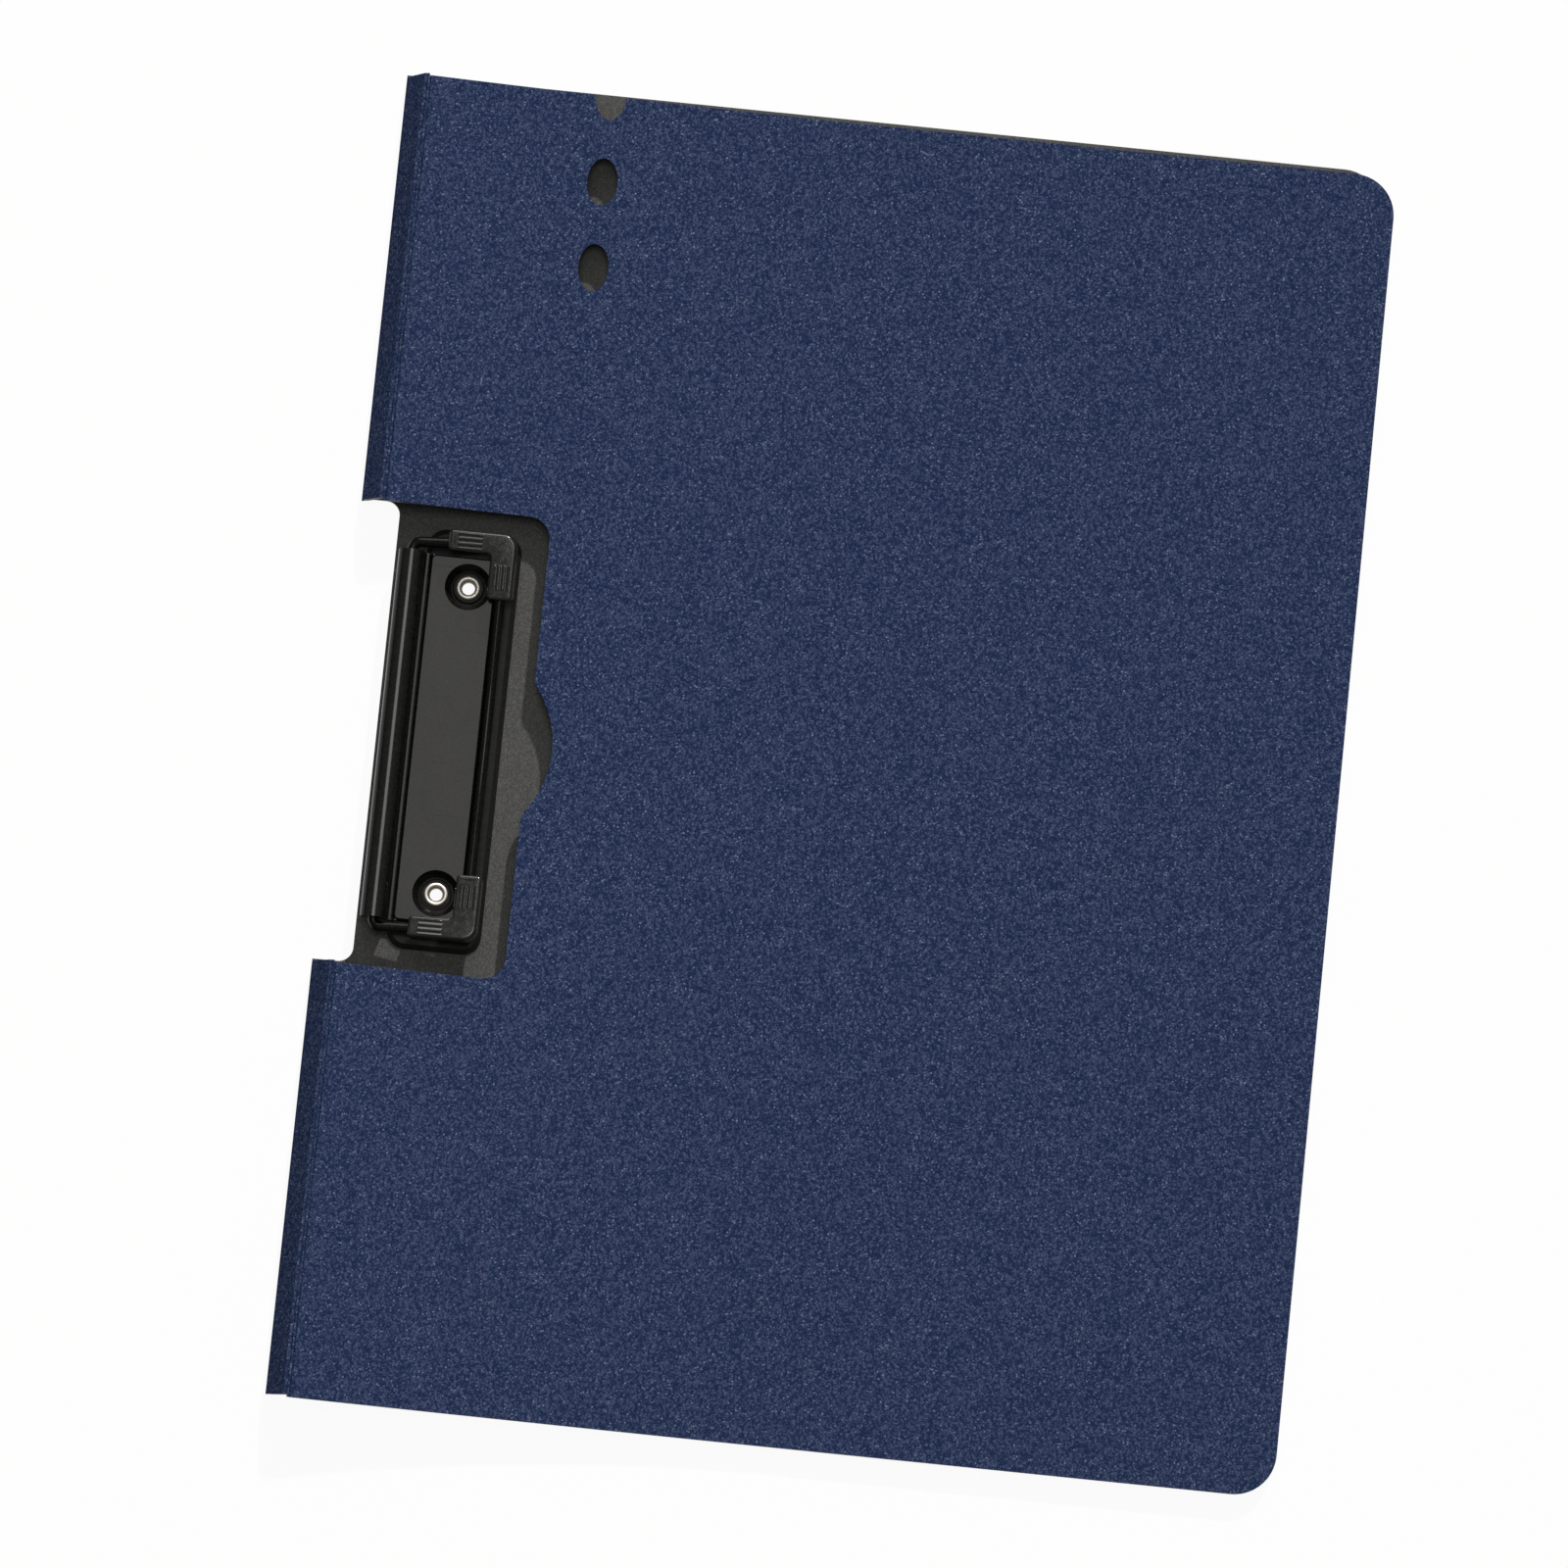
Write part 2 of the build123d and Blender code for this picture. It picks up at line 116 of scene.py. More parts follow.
# The clip's pressed plate, in places across it from the back crease
BARREL_X = 13.4 * MM
BARREL_Z = 6.05 * MM
BARREL_RADIUS = 3.15 * MM
BARREL_HALF_LENGTH = 44.15 * MM
BARREL_TANGENT_Z = 5.3 * MM
BARREL_CORNER = 0.08 * MM            # the barrel's bend has its corner this far past its end
BARREL_INSIDE = 2.6 * MM             # from the barrel's middle to that bead's hidden edge
VALLEY_Z = 3.8 * MM                  # flat of the sheet between the barrel and the plateau
VALLEY_FROM = 16.95 * MM
VALLEY_TO = 17.40 * MM
PLATEAU_WALL_X = 18.15 * MM
PLATEAU_WALL_Z = 4.3 * MM
PLATEAU_CORNER = 0.02 * MM           # the plateau's bend has its corner this far before the wall
PLATEAU_INTO_WALL = 0.06 * MM        # and ends this far inside it
PLATEAU_INSIDE = 0.3 * MM            # from the wall to that bead's hidden edge
BEAD_DEPTH = 0.1 * MM                # both hidden edges lie this far under the valley
WEB_SHARP_TURN = math.radians(60.0)
BEAD_SHARP_TURN = math.radians(40.0)

# Heights on the clip that change its enamel
PLATE_DUST_Z = 2.6 * MM              # dust stays below
BARREL_CROWN_Z = 8.3 * MM            # polished above
DUST_FADE = 0.1 * MM
CROWN_FADE = 0.6 * MM

# Colours
# film pebbles run from FILM_DARK to FILM_PALE; the paler end is partly painted sheen on their domes
FILM_DARK = (0.011, 0.023, 0.067, 1.0)
FILM_PALE = (0.078, 0.096, 0.176, 1.0)
FILM_MOTTLE = (0.030, 0.046, 0.100, 1.0)
# pale colour of the painted glints on the film
FILM_PAINTED_GLINT = (0.22, 0.27, 0.38, 1.0)
# inner pebbles run from INNER_DARK to INNER_PALE; the paler end is partly painted sheen on their domes
INNER_DARK = (0.044, 0.044, 0.042, 1.0)
INNER_PALE = (0.101, 0.101, 0.096, 1.0)
CUT_DARK = (0.008, 0.009, 0.012, 1.0)
CUT_PALE = (0.020, 0.020, 0.024, 1.0)
PLATE_TONE = (0.005, 0.005, 0.0045)
WIRE_TONE = (0.004, 0.004, 0.004)
PEEL_SHARES = (0.6, 1.6)             # of an enamel's tone, in the peel's hollows and on its tops
GRIP_DARK = (0.005, 0.005, 0.005, 1.0)
GRIP_PALE = (0.011, 0.011, 0.010, 1.0)
NICKEL_DARK = (0.90, 0.85, 0.75, 1.0)
NICKEL_PALE = (0.98, 0.94, 0.86, 1.0)
# painted shade down inside the eyelets, dark to pale
EYELET_SHADE_DARK = (0.09, 0.065, 0.04, 1.0)
EYELET_SHADE_PALE = (0.20, 0.15, 0.10, 1.0)
FLOOR_GREY = (0.8, 0.8, 0.8, 1.0)
LAMP_WHITE = (1.0, 0.985, 0.955)

# Grain: pebbles to the metre, and the depth of each finish's relief
FILM_PEBBLES = 2100.0
INNER_PEBBLES = 3000.0
FILM_RELIEF = 0.10 * MM
INNER_RELIEF = 0.03 * MM
CUT_RELIEF = 0.03 * MM
PEEL_RELIEF = 0.008 * MM
GRIP_RELIEF = 0.02 * MM
RIB_RELIEF = 0.16 * MM
NICKEL_RELIEF = 0.01 * MM

# Studio
FLOOR_HALF = 4.0
FLOOR_Z = -0.1 * MM
FLOOR_GLOW = 0.94                    # share of plain white in the floor that is seen
WORLD_LOW = 0.14                     # strength of the surroundings low down, and overhead
WORLD_HIGH = 0.22
KEY_ELEVATION = math.radians(27.0)
KEY_AZIMUTH = math.radians(75.5)
KEY_DIRECTION = (
    math.cos(KEY_AZIMUTH) * math.cos(KEY_ELEVATION),
    math.sin(KEY_AZIMUTH) * math.cos(KEY_ELEVATION),
    math.sin(KEY_ELEVATION),
)


def joint_axis(name):
    """Place of a joint, as packed."""
    for joint in frame["joints"]:
        if joint["name"] == name:
            return Vector(joint["pos_m"])
    raise ValueError(name)


BACK_CREASE = joint_axis("spine_fold")
COVER_CREASE = joint_axis("cover_fold")


# Shader helpers

def new_material(name):
    """Material with nodes: itself, its nodes, its links and its shader."""
    material = bpy.data.materials.new(name)
    material.use_nodes = True
    nodes = material.node_tree.nodes
    return material, nodes, material.node_tree.links, nodes["Principled BSDF"]


def new_group(name, inputs, outputs):
    """Shader node group with named inputs, each with a default or None, and named outputs."""
    group = bpy.data.node_groups.new(name, "ShaderNodeTree")
    for label, kind, default in inputs:
        socket = group.interface.new_socket(label, in_out="INPUT", socket_type=kind)
        if default is not None:
            socket.default_value = default
    for label, kind in outputs:
        group.interface.new_socket(label, in_out="OUTPUT", socket_type=kind)
    start = group.nodes.new("NodeGroupInput")
    end = group.nodes.new("NodeGroupOutput")
    return group, group.nodes, group.links, start, end


def place_group(nodes, links, group, place, **values):
    """One use of a group, fed with a place. Other inputs are set by name, with _ for a space."""
    node = nodes.new("ShaderNodeGroup")
    node.node_tree = group
    links.new(place, node.inputs["Place"])
    for label, value in values.items():
        node.inputs[label.replace("_", " ")].default_value = value
    return node


def object_place(nodes):
    """Place on the piece, in metres."""
    return nodes.new("ShaderNodeTexCoord").outputs["Object"]


def split_place(nodes, links, place):
    """The three parts of a place: X, Y and Z."""
    node = nodes.new("ShaderNodeSeparateXYZ")
    links.new(place, node.inputs["Vector"])
    return node.outputs["X"], node.outputs["Y"], node.outputs["Z"]


def noise(nodes, links, vector, scale, detail=2.0, roughness=0.5):
    """Soft noise, with scale features to the metre."""
    node = nodes.new("ShaderNodeTexNoise")
    node.inputs["Scale"].default_value = scale
    node.inputs["Detail"].default_value = detail
    node.inputs["Roughness"].default_value = roughness
    links.new(vector, node.inputs["Vector"])
    return node.outputs["Fac"]


def ramp(nodes, links, value, low, high, to_low=0.0, to_high=1.0):
    """Straight-line remap of a value, held at both ends."""
    node = nodes.new("ShaderNodeMapRange")
    node.inputs["From Min"].default_value = low
    node.inputs["From Max"].default_value = high
    node.inputs["To Min"].default_value = to_low
    node.inputs["To Max"].default_value = to_high
    links.new(value, node.inputs["Value"])
    return node.outputs["Result"]


def maths(nodes, links, operation, first, second=0.0):
    """One sum on sockets or numbers. An operation on a single value leaves the second out."""
    node = nodes.new("ShaderNodeMath")
    node.operation = operation
    for socket, value in zip(node.inputs, (first, second)):
        if isinstance(value, (int, float)):
            socket.default_value = value
        else:
            links.new(value, socket)
    return node.outputs["Value"]


def blend_colours(nodes, links, factor, first, second):
    """Mix of two colours, each a socket or a plain colour."""
    node = nodes.new("ShaderNodeMix")
    node.data_type = "RGBA"
    node.clamp_factor = True
    colour_sockets = [s for s in node.inputs if s.type == "RGBA"]
    factor_socket = [s for s in node.inputs if s.type == "VALUE"][0]
    links.new(factor, factor_socket)
    for socket, value in zip(colour_sockets, (first, second)):
        if isinstance(value, tuple):
            socket.default_value = value
        else:
            links.new(value, socket)
    return [s for s in node.outputs if s.type == "RGBA"][0]


def bump(nodes, links, height, distance, under=None):
    """Normal of a relief, laid on another normal where there is one under it."""
    node = nodes.new("ShaderNodeBump")
    node.inputs["Strength"].default_value = 1.0
    node.inputs["Distance"].default_value = distance
    links.new(height, node.inputs["Height"])
    if under is not None:
        links.new(under, node.inputs["Normal"])
    return node.outputs["Normal"]


def grain_group():
    """Embossed grain: pebbles about half a millimetre across, each of its own lightness with painted
    sheen making its dome paler, broad mottling and rare painted glints as bright specks. Height = 0.6
    dome + noise, tone and sheen = 0.55 chance + 0.45 dome."""
    group, nodes, links, start, end = new_group(
        "grain_with_painted_sheen",
        [("Place", "NodeSocketVector", None), ("Pebble Scale", "NodeSocketFloat", FILM_PEBBLES)],
        [
            ("Height", "NodeSocketFloat"), ("Tone And Sheen", "NodeSocketFloat"),
            ("Mottle", "NodeSocketFloat"), ("Painted Glint", "NodeSocketFloat"),
        ],
    )
    place, scale = start.outputs["Place"], start.outputs["Pebble Scale"]
    pebbles = nodes.new("ShaderNodeTexVoronoi")
    links.new(place, pebbles.inputs["Vector"])
    links.new(scale, pebbles.inputs["Scale"])
    fine = nodes.new("ShaderNodeTexNoise")
    fine.inputs["Detail"].default_value = 1.5
    links.new(place, fine.inputs["Vector"])
    links.new(scale, fine.inputs["Scale"])
    chance = nodes.new("ShaderNodeSeparateColor")
    links.new(pebbles.outputs["Color"], chance.inputs["Color"])
    dome = ramp(nodes, links, pebbles.outputs["Distance"], 0.65, 0.05)
    rise = maths(nodes, links, "MULTIPLY", dome, 0.6)
    own_tone = maths(nodes, links, "MULTIPLY", chance.outputs["Green"], 0.55)
    # painted sheen: each pebble's dome is made paler in tone, as if lit
    dome_sheen = maths(nodes, links, "MULTIPLY", dome, 0.45)
    # painted glints: a few pebble domes get a bright speck
    rare = ramp(nodes, links, chance.outputs["Red"], 0.90, 1.0)
    links.new(maths(nodes, links, "ADD", rise, fine.outputs["Fac"]), end.inputs["Height"])
    links.new(maths(nodes, links, "ADD", own_tone, dome_sheen), end.inputs["Tone And Sheen"])
    links.new(noise(nodes, links, place, 420.0, detail=3.0), end.inputs["Mottle"])
    links.new(maths(nodes, links, "MULTIPLY", rare, dome), end.inputs["Painted Glint"])
    return group


def wear_group():
    """Faint rubbing and dust: long soft scratches and broad smudges."""
    group, nodes, links, start, end = new_group(
        "handling_wear",
        [("Place", "NodeSocketVector", None)],
        [("Smudge", "NodeSocketFloat"), ("Scratch", "NodeSocketFloat")],
    )
    smudge = noise(nodes, links, start.outputs["Place"], 60.0, detail=4.0, roughness=0.6)
    drawn_out = nodes.new("ShaderNodeMapping")
    drawn_out.inputs["Rotation"].default_value = (0.0, 0.0, 0.6)
    drawn_out.inputs["Scale"].default_value = (40.0, 900.0, 900.0)
    links.new(start.outputs["Place"], drawn_out.inputs["Vector"])
    streak = noise(nodes, links, drawn_out.outputs["Vector"], 1.0)
    links.new(ramp(nodes, links, smudge, 0.35, 0.7), end.inputs["Smudge"])
    links.new(ramp(nodes, links, streak, 0.66, 0.74), end.inputs["Scratch"])
    return group


def ribs_group():
    """Crowns of the grips' ribs: on each leg h = (1 - cos(2 pi (c - c0) / pitch)) / 2 across the
    grooves, with c the distance from the bail's middle line or the place along X, and c0 a groove's
    middle. Off the leg h is nought."""
    group, nodes, links, start, end = new_group(
        "crowned_ribs",
        [("Place", "NodeSocketVector", None)],
        [("Height", "NodeSocketFloat")],
    )
    x, y, _ = split_place(nodes, links, start.outputs["Place"])
    from_middle = maths(nodes, links, "ABSOLUTE", maths(nodes, links, "SUBTRACT", y, BAIL_MIDDLE_Y))

    def crown(value, groove, across, other, along):
        """Crowns of the ribs that lie side by side across a leg and run along it."""
        offset = maths(nodes, links, "SUBTRACT", value, groove)
        turn = maths(nodes, links, "MULTIPLY", offset, 2 * math.pi / RIB_PITCH)
        height = ramp(nodes, links, maths(nodes, links, "COSINE", turn), 1.0, -1.0)
        for place, (low, high) in ((value, across), (other, along)):
            for edge, inward in ((low, RIB_FADE), (high, -RIB_FADE)):
                inside = ramp(nodes, links, place, edge, edge + inward)
                height = maths(nodes, links, "MULTIPLY", height, inside)
        return height

    side_leg = crown(from_middle, SIDE_GROOVE_Y, SIDE_LEG_Y, x, SIDE_LEG_X)
    bar_leg = crown(x, BAR_GROOVE_X, BAR_LEG_X, from_middle, BAR_LEG_Y)
    links.new(maths(nodes, links, "ADD", side_leg, bar_leg), end.inputs["Height"])
    return group


GRAIN = grain_group()
WEAR = wear_group()
RIBS = ribs_group()


# Materials

def navy_film():
    """Outer face: navy film whose embossed pebbles differ in lightness, partly at random and partly as
    painted sheen on their domes, with rare painted glints as pale specks.
    """
    material, nodes, links, shader = new_material("navy_grained_film")
    place = object_place(nodes)
    grain = place_group(nodes, links, GRAIN, place)
    wear = place_group(nodes, links, WEAR, place)
    # pebble lightness, partly random and partly painted sheen on the domes
    light = ramp(nodes, links, grain.outputs["Tone And Sheen"], 0.25, 0.85)
    colour = blend_colours(nodes, links, light, FILM_DARK, FILM_PALE)
    soft = ramp(nodes, links, grain.outputs["Mottle"], 0.3, 0.7, to_high=0.18)
    colour = blend_colours(nodes, links, soft, colour, FILM_MOTTLE)
    # painted glints: pale specks on a few pebble domes
    colour = blend_colours(nodes, links, grain.outputs["Painted Glint"], colour, FILM_PAINTED_GLINT)
    rough = ramp(nodes, links, wear.outputs["Smudge"], 0.0, 1.0, to_low=0.5, to_high=0.58)
    relief = bump(nodes, links, grain.outputs["Height"], FILM_RELIEF)
    links.new(colour, shader.inputs["Base Color"])
    links.new(rough, shader.inputs["Roughness"])
    links.new(relief, shader.inputs["Normal"])
    shader.inputs["Specular IOR Level"].default_value = 0.0
    return material


def olive_inner_face():
    """Inner face: dark olive-grey plastic with a very fine matt grain, its pebble domes painted paler as
    sheen.
    """
    material, nodes, links, shader = new_material("olive_inner_face")
    place = object_place(nodes)
    grain = place_group(nodes, links, GRAIN, place, Pebble_Scale=INNER_PEBBLES)
    wear = place_group(nodes, links, WEAR, place)
    # pebble lightness, partly random and partly painted sheen on the domes
    light = ramp(nodes, links, grain.outputs["Tone And Sheen"], 0.2, 0.85)
    rough = ramp(nodes, links, wear.outputs["Smudge"], 0.0, 1.0, to_low=0.52, to_high=0.62)
    relief = bump(nodes, links, grain.outputs["Height"], INNER_RELIEF)
    links.new(blend_colours(nodes, links, light, INNER_DARK, INNER_PALE), shader.inputs["Base Color"])
    links.new(rough, shader.inputs["Roughness"])
    links.new(relief, shader.inputs["Normal"])
    shader.inputs["Specular IOR Level"].default_value = 0.25
    return material


def cut_edge():
    """Die-cut edge of the sheet: near black, with a very fine grain."""
    material, nodes, links, shader = new_material("black_cut_edge")
    fine = noise(nodes, links, object_place(nodes), 2600.0)
    rough = ramp(nodes, links, fine, 0.3, 0.7, to_low=0.5, to_high=0.65)
    links.new(blend_colours(nodes, links, fine, CUT_DARK, CUT_PALE), shader.inputs["Base Color"])
    links.new(rough, shader.inputs["Roughness"])
    links.new(bump(nodes, links, fine, CUT_RELIEF), shader.inputs["Normal"])
    return material


def gloss_enamel(name, tone, roughness, dull_below, crown=None):
    """Black enamel on steel: gloss with a fine orange peel, smudged where it is handled, and dull in
    the low places where dust stays. A crown, if any, is polished above its height."""
    material, nodes, links, shader = new_material(name)
    place = object_place(nodes)
    z = split_place(nodes, links, place)[2]
    wear = place_group(nodes, links, WEAR, place)
    peel = noise(nodes, links, place, 1500.0, detail=3.0, roughness=0.6)
    dark, pale = (tuple(share * part for part in tone) + (1.0,) for share in PEEL_SHARES)
    colour = blend_colours(nodes, links, ramp(nodes, links, peel, 0.4, 0.65), dark, pale)
    links.new(colour, shader.inputs["Base Color"])
    shader.inputs["Specular IOR Level"].default_value = 0.19
    if crown is not None:
        polish = ramp(nodes, links, z, crown, crown + CROWN_FADE, to_high=0.6)
        links.new(polish, shader.inputs["Coat Weight"])
        shader.inputs["Coat Roughness"].default_value = roughness
    smudged = ramp(nodes, links, wear.outputs["Smudge"], 0.0, 1.0, roughness, roughness + 0.06)
    rubbed = maths(nodes, links, "MULTIPLY", wear.outputs["Scratch"], 0.06)
    dusty = ramp(nodes, links, z, dull_below + DUST_FADE, dull_below, to_high=0.3)
    rough = maths(nodes, links, "ADD", smudged, maths(nodes, links, "ADD", rubbed, dusty))
    links.new(rough, shader.inputs["Roughness"])
    links.new(bump(nodes, links, peel, PEEL_RELIEF), shader.inputs["Normal"])
    return material


def grip_plastic():
    """Moulded grip: black plastic, glossy and satin in patches, with a fine spark texture and ribs
    crowned between their grooves."""
    material, nodes, links, shader = new_material("satin_grip_plastic")
    place = object_place(nodes)
    ribs = place_group(nodes, links, RIBS, place)
    fine = noise(nodes, links, place, 2400.0)
    patches = noise(nodes, links, place, 800.0, detail=3.0, roughness=0.6)
    rough = ramp(nodes, links, patches, 0.38, 0.62, to_low=0.15, to_high=0.25)
    sparks = bump(nodes, links, fine, GRIP_RELIEF)
    crowned = bump(nodes, links, ribs.outputs["Height"], RIB_RELIEF, under=sparks)
    links.new(blend_colours(nodes, links, fine, GRIP_DARK, GRIP_PALE), shader.inputs["Base Color"])
    links.new(rough, shader.inputs["Roughness"])
    links.new(crowned, shader.inputs["Normal"])
    shader.inputs["Specular IOR Level"].default_value = 0.8
    return material


def eyelet_nickel():
    """Bright warm nickel on the eyelet's rolled lip, with shade painted dark down inside it. The two meet
    at a radius of sqrt(across^2 + along^2) from the eyelet's axis."""
    material, nodes, links, shader = new_material("eyelet_nickel")
    place = object_place(nodes)
    fine = noise(nodes, links, place, 1800.0, detail=3.0)
    x, y, _ = split_place(nodes, links, place)
    across = maths(nodes, links, "SUBTRACT", x, EYELET_X)
    along = maths(nodes, links, "SUBTRACT", maths(nodes, links, "ABSOLUTE", y), EYELET_Y)
    across_squared = maths(nodes, links, "MULTIPLY", across, across)
    along_squared = maths(nodes, links, "MULTIPLY", along, along)
    square = maths(nodes, links, "ADD", across_squared, along_squared)
    lip = ramp(nodes, links, maths(nodes, links, "SQRT", square), EYELET_DARK, EYELET_BRIGHT)
    metal = blend_colours(nodes, links, fine, NICKEL_DARK, NICKEL_PALE)
    # painted shade: dark colour inside the throat, where the funnel lies in shade
    painted_shade = blend_colours(nodes, links, fine, EYELET_SHADE_DARK, EYELET_SHADE_PALE)
    rough = ramp(nodes, links, fine, 0.3, 0.7, to_low=0.42, to_high=0.52)
    links.new(blend_colours(nodes, links, lip, painted_shade, metal), shader.inputs["Base Color"])
    links.new(rough, shader.inputs["Roughness"])
    links.new(bump(nodes, links, fine, NICKEL_RELIEF), shader.inputs["Normal"])
    shader.inputs["Metallic"].default_value = 0.85
    return material


NAVY = navy_film()
OLIVE = olive_inner_face()
EDGE = cut_edge()
PLATE_ENAMEL = gloss_enamel(
    "black_plate_enamel", PLATE_TONE, roughness=0.14, dull_below=PLATE_DUST_Z, crown=BARREL_CROWN_Z
)
WIRE_ENAMEL = gloss_enamel("black_wire_enamel", WIRE_TONE, roughness=0.12, dull_below=0.0)
GRIP = grip_plastic()
NICKEL = eyelet_nickel()


# Pieces

def link_piece(name, mesh):
    """New object in the scene, at the origin."""
    piece = bpy.data.objects.new(name, mesh)
    bpy.context.scene.collection.objects.link(piece)
    return piece


def smooth(mesh):
    """Shades every face smoothly, up to the sharp edges."""
    mesh.polygons.foreach_set("use_smooth", np.ones(len(mesh.polygons), bool))


def copied_shape(node):
    """Merged copy of a CAD node, with its flat faces whole, and the layer of weights for rounding."""
    mesh = frame["nodes"][node].data.copy()
    shape = bmesh.new()
    shape.from_mesh(mesh)
    bmesh.ops.remove_doubles(shape, verts=shape.verts, dist=MERGE_WITHIN)
    bmesh.ops.dissolve_limit(shape, angle_limit=SAME_PLANE, verts=shape.verts, edges=shape.edges)
    return mesh, shape, shape.edges.layers.float.new("bevel_weight_edge")


def stand_in(name, mesh, shape, materials, node, body, rounding_width):
    """Piece made of an edited copy, which replaces its node: smooth, with rounded marked edges."""
    mesh.materials.clear()
    for material in materials:
        mesh.materials.append(material)
    shape.to_mesh(mesh)
    shape.free()
    mesh.attributes.remove(mesh.attributes["custom_normal"])
    mesh.name = name
    smooth(mesh)
    piece = link_piece(name, mesh)
    rounding = piece.modifiers.new("rounded_edges", "BEVEL")
    rounding.width = rounding_width
    rounding.segments = ROUNDING_SEGMENTS
    rounding.limit_method = "WEIGHT"
    rounding.harden_normals = True
    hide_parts(node)
    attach(piece, body)


def carried(section, stretches):
    """Closed bar for each stretch of Y: the section's ring of (x, z) points stands at both ends of
    the stretch, with four-sided faces between the rings and a cap at each end."""
    count = len(section)
    ring = np.arange(count)
    ahead = np.roll(ring, -1)
    sides = np.stack([ring, ahead, count + ahead, count + ring], axis=1)
    points = np.concatenate([np.insert(section, 1, y, axis=1) for ends in stretches for y in ends])
    faces = []
    for first in range(0, len(points), 2 * count):
        faces += (first + sides).tolist()
        faces += [(first + ring[::-1]).tolist(), (first + count + ring).tolist()]
    return points, faces


def closed_mesh(name, points, faces, material):
    """Mesh of closed shapes, with every face turned outwards."""
    mesh = bpy.data.meshes.new(name)
    mesh.from_pydata(points, [], faces)
    shape = bmesh.new()
    shape.from_mesh(mesh)
    bmesh.ops.recalc_face_normals(shape, faces=shape.faces)
    shape.to_mesh(mesh)
    shape.free()
    mesh.materials.append(material)
    return mesh


# Sheet panels

def lay_on_bend(shape):
    """Cuts the cover across its bend into narrow strips, and lays every point of them on the arc.

    The middle of the sheet falls from the crease to the flat part on one arc of radius
    R = (run^2 + drop^2) / (2 drop), whose centre stands over the start of the flat part. On the
    upper face z = centre - sqrt((R - t/2)^2 - x^2) and on the lower one (R + t/2), with x from there.
    """
    drop = COVER_CREASE.z - COVER_FLAT_Z
    radius = (COVER_BEND_RUN**2 + drop**2) / (2 * drop)
    centre_x = COVER_CREASE.x + COVER_BEND_RUN
    centre_z = COVER_FLAT_Z + radius
    for x in np.arange(COVER_CREASE.x + COVER_STRIP, centre_x, COVER_STRIP):
        bmesh.ops.bisect_plane(
            shape,
            geom=shape.verts[:] + shape.edges[:] + shape.faces[:],
            dist=CUT_WITHIN,
            plane_co=(x, 0.0, 0.0),
            plane_no=(1.0, 0.0, 0.0),
        )
    for point in shape.verts:
        if not COVER_CREASE.x + COVER_BEND_START < point.co.x < centre_x:
            continue
        x = point.co.x - centre_x
        side = -1.0 if math.hypot(x, centre_z - point.co.z) < radius else 1.0
        reach = radius + side * SHEET_THICKNESS / 2
        point.co.z = centre_z - math.sqrt(reach**2 - x**2)


def near_crease(point):
    """Whether a point lies in the thin part of the sheet beside a crease line."""
    creases = (BACK_CREASE, COVER_CREASE)
    return any(math.hypot(point.x - c.x, point.z - c.z) < CREASE_ZONE for c in creases)


def panel(node, body, name, outward):
    """Panel of the sheet with rounded cut edges: film outside, olive inside, black round the cut."""
    mesh, shape, rounded = copied_shape(node)
    if body == "cover":
        lay_on_bend(shape)
    shape.normal_update()
    for edge in shape.edges:
        turn = edge.calc_face_angle(0.0)
        crowded = near_crease(edge.verts[0].co) and near_crease(edge.verts[1].co)
        if turn > ROUNDED_TURN and not crowded:
            edge[rounded] = 1.0
        elif turn > SHARP_TURN:
            edge.smooth = False
    for face in shape.faces:
        facing = face.normal.dot(Vector(outward))
        face.material_index = 0 if facing > 0.5 else 1 if facing < -0.5 else 2
    stand_in(name, mesh, shape, (NAVY, OLIVE, EDGE), node, body, EDGE_ROUNDING)


SPINE_OUTWARD = (-math.sin(SPINE_LEAN), 0.0, math.cos(SPINE_LEAN))
panel("back_board", "back", "back_panel", (0.0, 0.0, -1.0))
panel("spine_strip_upper", "spine", "spine_panel_upper", SPINE_OUTWARD)
panel("spine_strip_lower", "spine", "spine_panel_lower", SPINE_OUTWARD)
panel("front_cover", "cover", "cover_panel", (0.0, 0.0, 1.0))


# Creases

def stadium(radius, reach, count=10):
    """Outline of a bar with round ends, from the crease line to reach: two half circles."""
    turn = np.linspace(0.0, math.pi, count)
    near = np.stack([-np.sin(turn), np.cos(turn)], axis=1) * radius
    far = np.stack([np.sin(turn), -np.cos(turn)], axis=1) * radius + np.array([reach, 0.0])
    return np.concatenate([near, far])


def hinge_web(name, crease, direction, reach, stretches):
    """The spine's half of a live hinge: a stadium, turned to its direction and moved to the crease
    line, carried along each stretch of Y."""
    outline = stadium(WEB_RADIUS, reach)
    along = np.array([math.cos(direction), math.sin(direction)])
    across = np.array([-math.sin(direction), math.cos(direction)])
    section = outline[:, :1] * along + outline[:, 1:] * across + np.array([crease.x, crease.z])
    mesh = closed_mesh(name, *carried(section, stretches), NAVY)
    mesh.set_sharp_from_angle(angle=WEB_SHARP_TURN)
    smooth(mesh)
    piece = link_piece(name, mesh)
    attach(piece, "spine")


def y_stretch(node):
    """From where to where a node reaches along Y."""
    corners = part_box(node)
    return corners[0].y, corners[1].y


SPINE_STRETCHES = [y_stretch(node) for node in ("spine_strip_lower", "spine_strip_upper")]
hinge_web("crease_web_back", BACK_CREASE, SPINE_LEAN, BACK_WEB_REACH, SPINE_STRETCHES)
hinge_web("crease_web_cover", COVER_CREASE, SPINE_LEAN + math.pi, COVER_WEB_REACH, SPINE_STRETCHES)


# Clip

